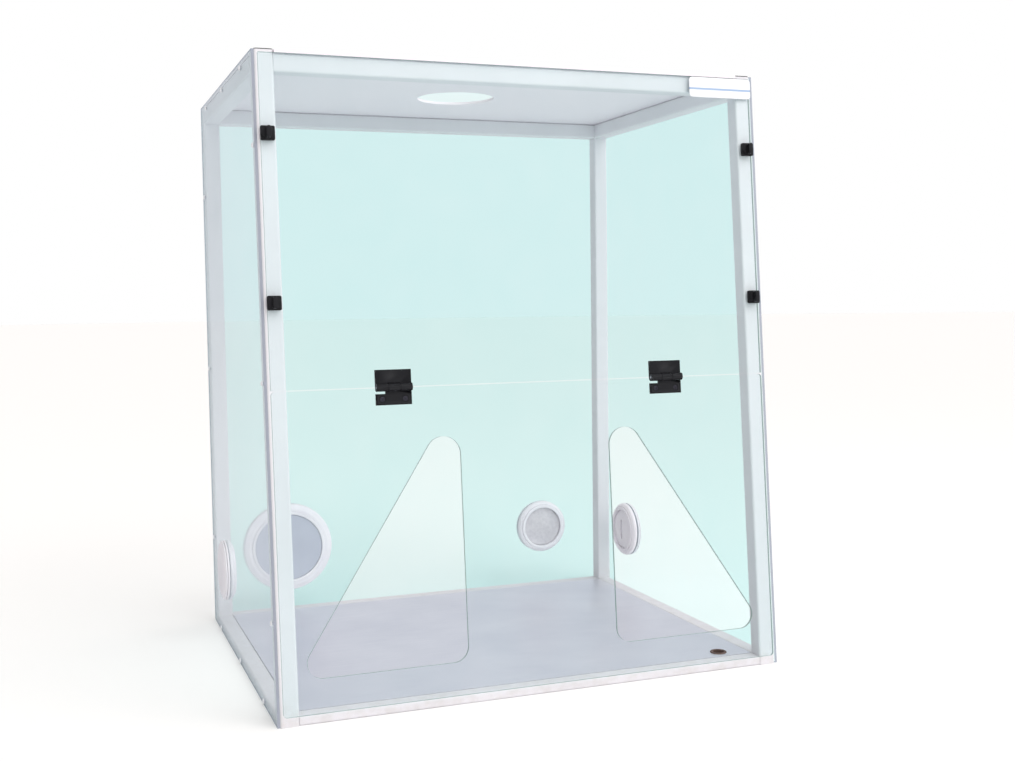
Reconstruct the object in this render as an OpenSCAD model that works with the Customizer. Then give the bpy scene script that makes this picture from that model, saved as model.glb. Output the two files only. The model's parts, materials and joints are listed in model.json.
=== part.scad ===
// Bench-top ventilated enclosure: a square-tube frame with clear panels and a grey ceiling,
// a leaning front with a flip-up door, four capped wall ports and a ceiling duct hole.
// Millimetres. +X is right, +Z is up and the front faces -Y.

/* [Cabinet] */
// Overall width over the side panels
width = 758; // [600:1:1000]
// Overall depth at the base, front face to back face
depth = 615; // [480:5:800]
// Height to the top of the ceiling panel
height = 890; // [740:10:1100]
// How far the top of the front leans back from its foot
front_setback = 73; // [20:1:120]
// Thickness of every clear panel
panel_t = 4; // [3:0.5:6]
// Height of the side and back panels' lower edge above the bench
panel_lift = 1; // [0.5:0.5:5]

/* [Frame] */
// Side of the square tube
tube = 25.4; // [18:0.1:32]
// Wall of the square tube
tube_wall = 2; // [1.5:0.5:3]
// Outside corner radius of the square tube
tube_corner = 3; // [0.5:0.5:3.5]
// Height of the front sill and the base rails, which is also the floor's level
base_h = 12.7; // [11:0.1:18]
// Length of the plug inside each rail end
plug_l = 30; // [15:1:60]
// Thickness of the plate of a post cap
cap_plate_t = 1.2; // [1:0.1:4]
// Depth of a post cap's plug inside the post
cap_plug_l = 12; // [6:1:30]
// Corner radius of a post cap
cap_corner = 4; // [1:0.5:6]

/* [Door] */
// Distance up the front to the seam between the door and the upper panel
seam = 441; // [350:1:560]
// Width of that seam
seam_gap = 1.6; // [1:0.2:4]
// Distance up the front to the door's lower edge
door_bottom = 14; // [13:0.5:24]
// Corner radius of the door
door_corner = 5; // [1:1:15]
// How far the front panels stop short of the posts' outer sides
front_inset = 4; // [0:0.5:8]
// Running clearance between the door and the posts
door_gap = 0.3; // [0.2:0.1:1]
// Distance from the centre line to the upright side of an arm opening
arm_inner = 113; // [70:1:150]
// Distance from the centre line to the outer tip of an arm opening
arm_outer = 337; // [200:1:340]
// Distance up the front to the lower side of an arm opening
arm_bottom = 60; // [30:1:90]
// Distance up the front to the top of an arm opening
arm_top = 371; // [260:1:380]
// Corner radius at the top of an arm opening
arm_corner = 25; // [8:1:30]
// Corner radius at the foot of an arm opening
arm_foot_corner = 21; // [8:1:30]

/* [Hinges] */
// Distance from each side of the cabinet to a hinge's centre
hinge_inset = 173; // [80:1:220]
// Width of a hinge
hinge_w = 50; // [40:1:70]
// Reach of each leaf from the pin
leaf_reach = 24; // [20:1:35]
// Thickness of a leaf
leaf_t = 4; // [3:0.5:5]
// Radius of the knuckle
knuckle_r = 5.5; // [4.5:0.1:7]
// Radius of the hinge pin
pin_r = 1.75; // [1:0.05:2.5]
// Half the distance between a leaf's two screws
leaf_screw_x = 16; // [10:1:18]
// Distance from the pin to a leaf's screws
leaf_screw_z = 16; // [12:1:19]

/* [Latches] */
// Side of a latch's square base
latch_base = 19; // [16:1:24]
// Thickness of that base
latch_base_t = 5; // [3:0.5:8]
// Distance from the upper panel's top edge to the upper latches
latch_inset_top = 108; // [40:1:180]
// Distance from the seam to the lower latches
latch_inset_low = 116; // [40:1:180]
// Radius of the knob's round foot
knob_r = 8.5; // [7:0.5:10]
// Height of the knob's grip above its foot
grip_h = 8; // [5:0.5:14]
// Thickness of the knob's grip
grip_t = 6.5; // [4:0.5:9]
// Radius of the latch stud
stud_r = 2.5; // [2:0.1:3]
// Length of the cross wing on the stud's end
wing_l = 10; // [7:0.5:11]

/* [Ports] */
// Flange diameter of the large back port
large_flange = 155; // [120:1:180]
// Width of the large port's flange round its bore
large_rim = 19; // [15:0.5:34]
// Flange diameter of the small ports
small_flange = 97; // [88:1:110]
// Width of the small ports' flanges round their bores
small_rim = 12; // [11:0.5:22]
// Height of all port centres above the bench
port_z = 120; // [110:1:200]
// Distance from the left side to the large port's centre
large_port_x = 132; // [115:1:200]
// Distance from the right side to the small back port's centre
small_port_x = 138; // [90:1:220]
// Distance from the front foot to the left port's centre
left_port_y = 458; // [300:1:520]
// Distance from the front foot to the right port's centre
right_port_y = 515; // [300:1:520]
// Wall of a port's neck
neck_wall = 5; // [3:0.5:6]
// Thickness of a port's flange outside the wall
flange_t = 3; // [2:0.5:6]
// Thickness of the ring nut inside the wall
nut_t = 8; // [5:0.5:12]
// Height of a port cap's crown above its rim
cap_crown = 4; // [2:0.5:8]

/* [Floor and ceiling] */
// Thickness of the floor pan's sheet
floor_t = 1.5; // [1:0.5:3]
// Radius of the hole in the floor pan
floor_hole_r = 11; // [6:0.5:15]
// Distance from the right side to the floor hole's centre
floor_hole_x = 74; // [60:1:200]
// Distance from the front foot to the floor hole's centre
floor_hole_y = 52; // [52:1:200]
// Diameter of the duct hole in the ceiling
duct_d = 125; // [80:1:200]
// Distance from the front foot to the duct hole's centre
duct_y = 368; // [280:1:420]

/* [Label plate] */
// Width of the blank label plate
label_w = 104; // [60:1:140]
// Height of the blank label plate
label_h = 30; // [20:1:40]
// Thickness of the blank label plate
label_t = 1.5; // [1:0.5:3]

/* [Screws] */
// Radius of a panel screw's shank
screw_r = 2; // [1.5:0.1:2.5]
// Radius of a panel screw's domed head
screw_head_r = 4; // [3:0.1:5]
// Height of a panel screw's domed head
screw_head_h = 2.4; // [1.5:0.1:4]
// Distance from a panel's top or bottom edge to its row of screws
screw_inset = 9; // [7.5:0.5:12]

/* [Hidden] */
$fn = 48;

// Colours
silver = [0.86, 0.87, 0.89];
clear = [0.82, 0.94, 0.92, 0.35];
black = [0.14, 0.14, 0.16];
port_grey = [0.80, 0.80, 0.84];
steel = [0.80, 0.82, 0.86];
white = [0.93, 0.94, 0.96];
sheet_grey = [0.81, 0.80, 0.84];
rubber = [0.36, 0.27, 0.24];

// Angle of the front from upright
slope = atan(front_setback / height);
// Half the width inside the side panels, and inside the tubes
half_frame = width / 2 - panel_t;
half_inside = half_frame - tube;
// Half the width of the front panels
half_front = half_frame - front_inset;
// Back tubes' rear and front faces
back_outer = depth - panel_t;
back_inner = back_outer - tube;
// Top of the tube frame
frame_top = height - panel_t;
// Fit of plugs in tubes, and of sheets beside posts
plug_fit = 0.2;
sheet_fit = 0.5;
// Fit of a screw in its hole, and of a shaft in its bore
screw_fit = 0.25;
shaft_fit = 0.05;
// Gap kept between pieces that move past each other
move_gap = 0.5;
// More than any dimension of the cabinet, for cutting
far = 3000;
// Hinge pin's distance in front of the panels
pin_out = knuckle_r + move_gap;
// Door leaf's outer thirds and middle third
knuckle_third = hinge_w / 3;
// How far the screws reach behind the panels
screw_reach = tube_wall + 4;
// Port parts: the cap's rim, the neck's reach past the nut, and the neck's fit in its hole
cap_face = 2;
neck_end = 2;
neck_fit = 0.3;
port_reach = flange_t + move_gap + cap_face + cap_crown;
// Gap under the floor pan's folded edges
pan_lift = 1;
// Knob's foot, and its stud's cross wing
knob_foot_t = 2;
wing_w = 3;
wing_t = 2.5;
// Cross recess of a panel screw
recess_l = 3.6;
recess_w = 0.8;
recess_depth = 1;
// Lower leaf screws: countersink, key recess, nut and the tip past the nut
sink_h = 1.7;
key_r = 1.45;
key_depth = 1.2;
leaf_nut_h = 3.2;
leaf_screw_tip = 0.8;
// Depth to which the upper leaf screws stop short of the leaf's face
blind_t = 1.5;
// Label plate's corners and its distances from the panel's side and top edges
label_corner = 5;
label_side_gap = 2;
label_top_gap = 1;
// Depth of the sill's front face
sill_front_y = panel_t / cos(slope) + base_h * tan(slope) + door_gap;
// Middle of the overall depth, moved onto the origin
front_most = door_bottom * sin(slope) - door_gap * cos(slope);
back_most = depth + port_reach;
mid_y = (front_most + back_most) / 2;

// Depth of the front panels' outer and inner faces at height z
function outer_y(z) = z * tan(slope);
function inner_y(z) = panel_t / cos(slope) + z * tan(slope);
// Depth of the front posts' rear faces at height z
function post_back_y(z) = (panel_t + tube) / cos(slope) + z * tan(slope);
// Evenly spaced values from a to b
function spaced(a, b, n) = [for (i = [0 : n - 1]) a + (b - a) * i / (n - 1)];

// Distances from the panels' ends to the first and last screws of each row
top_row_ends = [100, 70];
low_row_ends = [108, 83];
back_row_ends = [150, 152];
front_row_ends = [135, 126];
cross_row_end = 60;
ceiling_side_ends = [130, 100];
ceiling_cross_end = 90;
// Screw rows on a side panel, as [depth, height] pairs
side_top_row = [for (y = spaced(outer_y(height) + top_row_ends[0], depth - top_row_ends[1], 3))
    [y, height - screw_inset]];
side_low_row = [for (y = spaced(low_row_ends[0], depth - low_row_ends[1], 3)) [y, base_h / 2]];
back_post_zs = spaced(back_row_ends[0], height - back_row_ends[1], 3);
side_back_row = [for (z = back_post_zs) [back_inner + tube / 2, z]];
front_post_zs = spaced(front_row_ends[0], height - front_row_ends[1], 3);
side_front_row = [for (z = front_post_zs) [inner_y(z) + tube / 2, z]];
side_screws = concat(side_top_row, side_low_row, side_back_row, side_front_row);
// Screw rows on the back panel, as [across, height] pairs
back_rows = [for (x = spaced(-half_inside + cross_row_end, half_inside - cross_row_end, 4))
    for (z = [base_h / 2, frame_top - tube / 2]) [x, z]];
back_ends = [for (z = back_post_zs) for (s = [-1, 1]) [s * (half_inside + tube / 2), z]];
back_screws = concat(back_rows, back_ends);
// Screw rows on the ceiling panel, as [across, depth] pairs
ceiling_ys = spaced(outer_y(height) + ceiling_side_ends[0], depth - ceiling_side_ends[1], 3);
ceiling_sides = [for (y = ceiling_ys)
    for (s = [-1, 1]) [s * (half_inside + tube / 2), y]];
ceiling_ends = [for (x = spaced(-half_inside + ceiling_cross_end, half_inside - ceiling_cross_end, 3))
    for (y = [inner_y(frame_top) + tube / 2, back_inner + tube / 2]) [x, y]];
ceiling_screws_at = concat(ceiling_sides, ceiling_ends);
// Latch centres up the front
panel_top = (frame_top - door_gap) / cos(slope);
latch_top_z = panel_top - latch_inset_top;
latch_mid_z = seam + latch_inset_low;
latch_x = half_inside + tube / 2;
// Port bores
large_bore = large_flange - 2 * large_rim;
small_bore = small_flange - 2 * small_rim;
// Port centres, from the cabinet's own front left foot
large_at = [large_port_x - width / 2, port_z];
small_at = [width / 2 - small_port_x, port_z];

// ---- Placement ----

// The cabinet's own coordinates: foot of the front at y = 0
module in_cabinet() {
    translate([0, -mid_y, 0])
        children();
}

// The leaning front: z runs up the front, y = 0 is the panels' outer face
module on_front() {
    in_cabinet()
        rotate([-slope, 0, 0])
            children();
}

// Hinge coordinates: the pin lies on the X axis
module on_hinge(side) {
    on_front()
        translate([side * (width / 2 - hinge_inset), -pin_out, seam])
            children();
}

// Latch coordinates: z points out of the front, z = 0 is the panel's face
module on_latch(side, up) {
    on_front()
        translate([side * latch_x, 0, up])
            rotate([90, 0, 0])
                children();
}

// Wall coordinates: z points out of the cabinet, z = 0 is the wall's outer face
module on_back(at) {
    in_cabinet()
        translate([at[0], depth, at[1]])
            rotate([-90, 0, 0])
                children();
}

module on_side(side) {
    in_cabinet()
        translate([side * width / 2, side > 0 ? right_port_y : left_port_y, port_z])
            rotate([0, side * 90, 0])
                children();
}

// ---- Shapes used again ----

// A w by h rectangle with its corner at the origin and rounded corners
module rounded_rect(w, h, r) {
    translate([r, 0])
        square([w - 2 * r, h]);
    translate([0, r])
        square([w, h - 2 * r]);
    for (x = [r, w - r], y = [r, h - r])
        translate([x, y])
            circle(r = r);
}

// Section of a tube that is h high
module tube_section(h) {
    difference() {
        rounded_rect(tube, h, tube_corner);
        translate([tube_wall, tube_wall])
            square([tube - 2 * tube_wall, h - 2 * tube_wall]);
    }
}

// Square tube along +Z from the origin
module tube_z(l) {
    linear_extrude(l)
        tube_section(tube);
}

// Tube h high along +X from -l/2 to l/2, its lower front edge on the X axis
module tube_x(l, h) {
    translate([-l / 2, 0, 0])
        rotate([90, 0, 90])
            linear_extrude(l)
                tube_section(h);
}

// Tube h high along +Y from the origin
module tube_y(l, h) {
    translate([tube, 0, 0])
        rotate([90, 0, 180])
            linear_extrude(l)
                tube_section(h);
}

// Everything in front of the front posts' rear faces
module front_cut() {
    rotate([-slope, 0, 0])
        translate([-far / 2, -far, -far / 2])
            cube([far, far + panel_t + tube, far]);
}

// Shank hole or shank of a panel screw, z out of the panel's face
module shank(r) {
    translate([0, 0, -panel_t - screw_reach])
        cylinder(r = r, h = panel_t + screw_reach);
}

// Domed, cross-recessed panel screw standing on z = 0
module panel_screw() {
    shank(screw_r);
    difference() {
        rotate_extrude()
            intersection() {
                translate([0, screw_head_h - dome_r()])
                    circle(r = dome_r(), $fn = 96);
                square([screw_head_r, screw_head_h]);
            }
        for (a = [0, 90])
            rotate([0, 0, a])
                translate([-recess_l / 2, -recess_w / 2, screw_head_h - recess_depth])
                    cube([recess_l, recess_w, 2 * recess_depth]);
    }
}

// Radius of the sphere that a screw head is cut from
function dome_r() = (screw_head_r * screw_head_r + screw_head_h * screw_head_h) / (2 * screw_head_h);

module at_side_screws(side) {
    in_cabinet()
        for (p = side_screws)
            translate([side * width / 2, p[0], p[1]])
                rotate([0, side * 90, 0])
                    children();
}

module at_back_screws() {
    in_cabinet()
        for (p = back_screws)
            translate([p[0], depth, p[1]])
                rotate([-90, 0, 0])
                    children();
}

module at_ceiling_screws() {
    in_cabinet()
        for (p = ceiling_screws_at)
            translate([p[0], p[1], height])
                children();
}

// All holes that panel screws need in the frame
module screw_holes() {
    at_side_screws(-1)
        shank(screw_r + screw_fit);
    at_side_screws(1)
        shank(screw_r + screw_fit);
    at_back_screws()
        shank(screw_r + screw_fit);
    at_ceiling_screws()
        shank(screw_r + screw_fit);
}

// ---- Frame ----

module front_post(side) {
    color(silver)
        difference() {
            intersection() {
                on_front()
                    translate([side > 0 ? half_inside : -half_frame, panel_t, -tube])
                        tube_z(height + 3 * tube);
                in_cabinet()
                    translate([-far / 2, -far / 2, 0])
                        cube([far, far, height]);
            }
            screw_holes();
            for (up = [latch_mid_z, latch_top_z])
                on_latch(side, up)
                    latch_slot();
        }
}

// Slot in a post's face that the stud and its wing pass through
module latch_slot() {
    translate([0, 0, -panel_t - tube_wall - move_gap]) {
        cylinder(r = stud_r + move_gap, h = tube_wall + 2 * move_gap);
        translate([-wing_w / 2 - move_gap, -wing_l / 2 - move_gap, 0])
            cube([wing_w + 2 * move_gap, wing_l + 2 * move_gap, tube_wall + 2 * move_gap]);
    }
}

module back_post(side) {
    color(silver)
        difference() {
            in_cabinet()
                translate([side > 0 ? half_inside : -half_frame, back_inner, 0])
                    tube_z(height);
            screw_holes();
        }
}

module top_rail_front() {
    color(silver)
        difference() {
            in_cabinet()
                translate([0, inner_y(frame_top) + door_gap, frame_top - tube])
                    tube_x(2 * half_inside, tube);
            screw_holes();
        }
}

// Flat rectangular tube between the feet of the front posts
module front_sill() {
    color(silver)
        in_cabinet()
            translate([0, sill_front_y, 0])
                tube_x(2 * half_inside, base_h);
}

// Rail between the back posts, from height low and h high
module rail_back(low, h) {
    color(silver)
        difference() {
            in_cabinet()
                translate([0, back_inner, low])
                    tube_x(2 * half_inside, h);
            screw_holes();
        }
}

// Rail from a front post to a back post, from height low and h high
module rail_side(side, low, h) {
    color(silver)
        difference() {
            in_cabinet()
                difference() {
                    translate([side > 0 ? half_inside : -half_frame, 0, low])
                        tube_y(back_inner, h);
                    front_cut();
                }
            screw_holes();
        }
}

// Plug body for a tube h high, long along +Z from the origin
module plug(l, h) {
    trim = tube_wall + plug_fit;
    translate([trim, trim, 0])
        cube([tube - 2 * trim, h - 2 * trim, l]);
}

// Plugs in both ends of a rail that runs across, at depth y, height low and h high
module cross_plugs(y, low, h) {
    in_cabinet()
        for (s = [-1, 1])
            translate([s > 0 ? half_inside - plug_l : -half_inside, y, low])
                rotate([90, 0, 90])
                    plug(plug_l, h);
}

// Plugs in both ends of a rail that runs front to back
module side_plugs(side, low, h) {
    x = side > 0 ? half_inside : -half_frame;
    in_cabinet() {
        translate([x + tube, back_inner - plug_l, low])
            rotate([90, 0, 180])
                plug(plug_l, h);
        difference() {
            translate([x + tube, 0, low])
                rotate([90, 0, 180])
                    plug(post_back_y(low + h) + plug_l, h);
            front_cut();
        }
    }
}

module rail_plugs() {
    color(black)
        difference() {
            union() {
                for (rail = [[0, base_h], [frame_top - tube, tube]]) {
                    cross_plugs(back_inner, rail[0], rail[1]);
                    side_plugs(-1, rail[0], rail[1]);
                    side_plugs(1, rail[0], rail[1]);
                }
                cross_plugs(inner_y(frame_top) + door_gap, frame_top - tube, tube);
                cross_plugs(sill_front_y, 0, base_h);
            }
            screw_holes();
        }
}

// Plate of a post cap, its corner at the origin
module cap_plate() {
    linear_extrude(cap_plate_t)
        rounded_rect(tube, tube, cap_corner);
}

// Plug of a back post's cap, inside the top of a post that starts at the origin
module cap_plug() {
    translate([0, 0, height - cap_plug_l])
        linear_extrude(cap_plug_l)
            translate([tube_wall + plug_fit, tube_wall + plug_fit])
                square(tube - 2 * tube_wall - 2 * plug_fit);
}

module post_caps() {
    color(black)
        difference() {
            union() {
                in_cabinet()
                    for (s = [-1, 1], y = [inner_y(height), back_inner])
                        translate([s > 0 ? half_inside : -half_frame, y, height])
                            cap_plate();
                in_cabinet()
                    for (s = [-1, 1])
                        translate([s > 0 ? half_inside : -half_frame, back_inner, 0])
                            cap_plug();
                intersection() {
                    on_front()
                        for (s = [-1, 1])
                            translate([s > 0 ? half_inside : -half_frame, panel_t, 0])
                                translate([tube_wall + plug_fit, tube_wall + plug_fit, 0])
                                    cube([tube - 2 * tube_wall - 2 * plug_fit,
                                        tube - 2 * tube_wall - 2 * plug_fit, height + tube]);
                    in_cabinet()
                        translate([-far / 2, -far / 2, height - cap_plug_l])
                            cube([far, far, cap_plug_l]);
                }
            }
            screw_holes();
        }
}

// ---- Panels ----

module side_panel(side) {
    color(clear)
        difference() {
            in_cabinet()
                translate([side > 0 ? half_frame : -width / 2, 0, 0])
                    rotate([90, 0, 90])
                        linear_extrude(panel_t)
                            polygon([
                                [inner_y(panel_lift), panel_lift],
                                [depth, panel_lift],
                                [depth, height],
                                [inner_y(height), height]
                            ]);
            at_side_screws(side)
                shank(screw_r + screw_fit);
            on_side(side)
                neck_hole(small_bore);
        }
}

module back_panel() {
    color(clear)
        difference() {
            in_cabinet()
                translate([-half_frame, back_outer, panel_lift])
                    cube([2 * half_frame, panel_t, frame_top - panel_lift]);
            at_back_screws()
                shank(screw_r + screw_fit);
            on_back(large_at)
                neck_hole(large_bore);
            on_back(small_at)
                neck_hole(small_bore);
        }
}

module ceiling_panel() {
    front_y = outer_y(frame_top);
    notch = tube + sheet_fit;
    notch_l = post_back_y(height) + sheet_fit - front_y + notch;
    color(sheet_grey)
        difference() {
            in_cabinet()
                translate([-half_frame, front_y, frame_top])
                    cube([2 * half_frame, depth - front_y, panel_t]);
            in_cabinet()
                for (s = [-1, 1])
                    translate([s * half_frame - notch, 0, frame_top - notch]) {
                        translate([0, front_y - notch, 0])
                            cube([2 * notch, notch_l, far]);
                        translate([0, back_inner - sheet_fit, 0])
                            cube([2 * notch, tube + 2 * sheet_fit, far]);
                    }
            at_ceiling_screws()
                shank(screw_r + screw_fit);
            duct_hole();
        }
}

module duct_hole() {
    in_cabinet()
        translate([0, duct_y, frame_top - panel_t])
            cylinder(d = duct_d, h = 3 * panel_t, $fn = 96);
}

// A plate on the front, z1 to z2 up the front, y1 to y2 through its thickness
module front_plate(z1, z2, y1, y2, r) {
    translate([0, y2, 0])
        rotate([90, 0, 0])
            linear_extrude(y2 - y1)
                translate([-half_front, z1])
                    rounded_rect(2 * half_front, z2 - z1, r);
}

module front_panel() {
    color(clear)
        difference() {
            on_front()
                front_plate(seam + seam_gap / 2, panel_top, 0, panel_t, 1);
            for (s = [-1, 1], up = [latch_mid_z, latch_top_z])
                on_latch(s, up)
                    translate([0, 0, -panel_t - 1])
                        cylinder(r = wing_l / 2 + move_gap, h = panel_t + 2);
            for (s = [-1, 1])
                on_hinge(s)
                    leaf_screw_holes(1);
        }
}

// Rounded three-cornered arm opening, drawn across and up the front
module arm_outline() {
    foot = arm_foot_corner;
    top = [arm_inner + arm_corner, arm_top - arm_corner];
    tip = [arm_outer - foot, arm_bottom + foot];
    heel = [arm_inner + foot, arm_bottom + foot];
    // Unit normal of the line that touches the top and tip circles
    run = (tip - top) / norm(tip - top);
    lean = (arm_corner - foot) / norm(tip - top);
    out = lean * run + sqrt(1 - lean * lean) * [-run[1], run[0]];
    polygon([
        [arm_inner, heel[1]], [arm_inner, top[1]], top + arm_corner * out,
        tip + foot * out, [tip[0], arm_bottom], [heel[0], arm_bottom]
    ]);
    translate(top)
        circle(r = arm_corner, $fn = 96);
    for (c = [tip, heel])
        translate(c)
            circle(r = foot, $fn = 96);
}

module door_panel() {
    color(clear)
        difference() {
            on_front()
                front_plate(door_bottom, seam - seam_gap / 2, -door_gap, panel_t - door_gap, door_corner);
            on_front()
                for (s = [0, 1])
                    mirror([s, 0, 0])
                        translate([0, panel_t + 1, 0])
                            rotate([90, 0, 0])
                                linear_extrude(panel_t + 2)
                                    arm_outline();
            for (s = [-1, 1])
                on_hinge(s)
                    leaf_screw_holes(-1);
        }
}

// Sheet folded down at its four edges, its upper face level with the sill
module floor_pan() {
    half_w = half_inside - sheet_fit;
    front_y = sill_front_y + tube + sheet_fit;
    back_y = back_inner - sheet_fit;
    color(steel)
        difference() {
            in_cabinet()
                difference() {
                    translate([-half_w, front_y, pan_lift])
                        cube([2 * half_w, back_y - front_y, base_h - pan_lift]);
                    translate([-half_w + floor_t, front_y + floor_t, -1])
                        cube([
                            2 * half_w - 2 * floor_t,
                            back_y - front_y - 2 * floor_t,
                            base_h - floor_t + 1
                        ]);
                }
            at_floor_hole()
                cylinder(r = floor_hole_r, h = 3 * floor_t, center = true);
        }
}

// Floor hole coordinates: z = 0 is the sheet's upper face
module at_floor_hole() {
    in_cabinet()
        translate([width / 2 - floor_hole_x, floor_hole_y, base_h])
            children();
}

// Rubber ring in the floor hole, with a lip over and under the sheet
module floor_grommet() {
    bore_r = floor_hole_r - 2.5;
    lip_r = floor_hole_r + 2;
    lip_h = 1.5;
    foot_h = 2;
    fit = 0.1;
    color(rubber)
        at_floor_hole()
            rotate_extrude()
                polygon([
                    [bore_r, -floor_t - foot_h],
                    [lip_r - 1, -floor_t - foot_h],
                    [lip_r, -floor_t - fit],
                    [floor_hole_r - fit, -floor_t - fit],
                    [floor_hole_r - fit, fit],
                    [lip_r, fit],
                    [lip_r - 1, 0.8 * lip_h],
                    [bore_r + 1, lip_h],
                    [bore_r, 0.4 * lip_h]
                ]);
}

module label_plate() {
    color(white)
        on_front()
            translate([half_frame - label_w - label_side_gap, 0, panel_top - label_h - label_top_gap])
                rotate([90, 0, 0])
                    linear_extrude(label_t)
                        rounded_rect(label_w, label_h, label_corner);
}

// ---- Screws ----

module side_panel_screws(side) {
    color(white)
        at_side_screws(side)
            panel_screw();
}

module back_panel_screws() {
    color(white)
        at_back_screws()
            panel_screw();
}

module ceiling_screws() {
    color(white)
        at_ceiling_screws()
            panel_screw();
}

// ---- Hinges ----

// Leaf plate on one side of the pin, up = 1 above it and -1 below it
module leaf_plate(up) {
    back = up > 0 ? 0 : door_gap;
    difference() {
        translate([-hinge_w / 2, pin_out - leaf_t, up > 0 ? 0 : -leaf_reach])
            cube([hinge_w, leaf_t - back, leaf_reach]);
        leaf_screw_holes(up);
    }
}

// Cylinder along the pin from x1 to x2
module along_pin(x1, x2, r) {
    translate([x1, 0, 0])
        rotate([0, 90, 0])
            cylinder(r = r, h = x2 - x1);
}

module upper_leaf(side) {
    third = knuckle_third / 2;
    color(black)
        on_hinge(side)
            difference() {
                union() {
                    difference() {
                        leaf_plate(1);
                        along_pin(-third - move_gap, third + move_gap, pin_out + move_gap);
                    }
                    along_pin(-hinge_w / 2, -third - move_gap / 2, knuckle_r);
                    along_pin(third + move_gap / 2, hinge_w / 2, knuckle_r);
                }
                along_pin(-hinge_w, hinge_w, pin_r + shaft_fit);
            }
}

module lower_leaf(side) {
    third = knuckle_third / 2;
    color(black)
        on_hinge(side)
            difference() {
                union() {
                    difference() {
                        leaf_plate(-1);
                        along_pin(-hinge_w, -third + move_gap / 2, pin_out + move_gap);
                        along_pin(third - move_gap / 2, hinge_w, pin_out + move_gap);
                    }
                    along_pin(-third + move_gap / 2, third - move_gap / 2, knuckle_r);
                }
                along_pin(-hinge_w, hinge_w, pin_r + shaft_fit);
            }
}

module hinge_pin(side) {
    color(steel)
        on_hinge(side)
            along_pin(-hinge_w / 2, hinge_w / 2, pin_r);
}

// Coordinates of one leaf's screws: z points out of the front, z = 0 is the leaf's face
module at_leaf_screws(up) {
    for (s = [-1, 1])
        translate([s * leaf_screw_x, pin_out - leaf_t, up * leaf_screw_z])
            rotate([90, 0, 0])
                children();
}

// Holes in leaf and panel: through and countersunk below, blind from behind above
module leaf_screw_holes(up) {
    at_leaf_screws(up)
        if (up > 0) {
            translate([0, 0, -leaf_t - panel_t - 1])
                cylinder(r = screw_r + screw_fit, h = leaf_t + panel_t);
        } else {
            translate([0, 0, -leaf_t - panel_t - 1])
                cylinder(r = screw_r + screw_fit, h = leaf_t + panel_t + 2);
            countersink(screw_fit);
        }
}

// Countersunk head that ends flush with the leaf's face, grown by fit
module countersink(fit) {
    shaft = screw_r + fit;
    head = shaft + sink_h;
    translate([0, 0, -sink_h])
        rotate_extrude()
            polygon([[0, 0], [shaft, 0], [head, sink_h], [head, sink_h + fit], [0, sink_h + fit]]);
}

module hinge_screws_upper() {
    color(steel)
        for (s = [-1, 1])
            on_hinge(s)
                at_leaf_screws(1) {
                    translate([0, 0, -leaf_t - panel_t])
                        cylinder(r = screw_r, h = leaf_t + panel_t - blind_t);
                    translate([0, 0, -leaf_t - panel_t - screw_head_h])
                        cylinder(r = screw_head_r, h = screw_head_h);
                }
}

module hinge_screws_lower() {
    tail = leaf_nut_h + leaf_screw_tip;
    color(steel)
        for (s = [-1, 1])
            on_hinge(s)
                at_leaf_screws(-1)
                    difference() {
                        union() {
                            countersink(0);
                            translate([0, 0, -leaf_t - panel_t - tail])
                                cylinder(r = screw_r, h = leaf_t + panel_t + tail - sink_h / 2);
                        }
                        translate([0, 0, -key_depth])
                            cylinder(r = key_r, h = 2 * key_depth, $fn = 6);
                    }
}

module hinge_nuts_lower() {
    color(steel)
        for (s = [-1, 1])
            on_hinge(s)
                at_leaf_screws(-1)
                    translate([0, 0, door_gap - leaf_t - panel_t - leaf_nut_h])
                        difference() {
                            cylinder(r = 2 * screw_r, h = leaf_nut_h, $fn = 6);
                            translate([0, 0, -1])
                                cylinder(r = screw_r + shaft_fit, h = leaf_nut_h + 2);
                        }
}

// ---- Latches ----

module latch_base_at(side, up) {
    color(black)
        on_latch(side, up)
            difference() {
                linear_extrude(latch_base_t)
                    translate([-latch_base / 2, -latch_base / 2])
                        rounded_rect(latch_base, latch_base, 2);
                translate([0, 0, -1])
                    cylinder(r = stud_r + shaft_fit, h = latch_base_t + 2);
            }
}

// Quarter-turn knob: round foot, oval ribbed grip, stud and cross wing
module latch_knob_at(side, up) {
    foot = latch_base_t + move_gap;
    wing_z = -panel_t - tube_wall - move_gap - wing_t;
    color(black)
        on_latch(side, up) {
            translate([0, 0, foot])
                cylinder(r = knob_r, h = knob_foot_t);
            translate([0, 0, foot + knob_foot_t])
                knob_grip();
            translate([0, 0, wing_z])
                cylinder(r = stud_r, h = foot - wing_z + 1);
            translate([-wing_l / 2, -wing_w / 2, wing_z])
                cube([wing_l, wing_w, wing_t]);
        }
}

// Oval grip with four grooves down each of its flat sides
module knob_grip() {
    reach = knob_r - 0.5;
    groove_r = 0.6;
    groove_step = 3;
    difference() {
        linear_extrude(grip_h)
            intersection() {
                circle(r = reach);
                translate([-grip_t / 2, -reach])
                    square([grip_t, 2 * reach]);
            }
        for (x = [-grip_t / 2, grip_t / 2], n = [-1.5, -0.5, 0.5, 1.5])
            translate([x, n * groove_step, 2 * groove_r])
                cylinder(r = groove_r, h = grip_h);
    }
}

// ---- Ports ----

function neck_r(bore) = bore / 2 + neck_wall;

module neck_hole(bore) {
    translate([0, 0, -panel_t - 1])
        cylinder(r = neck_r(bore) + neck_fit, h = panel_t + 2, $fn = 96);
}

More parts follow.
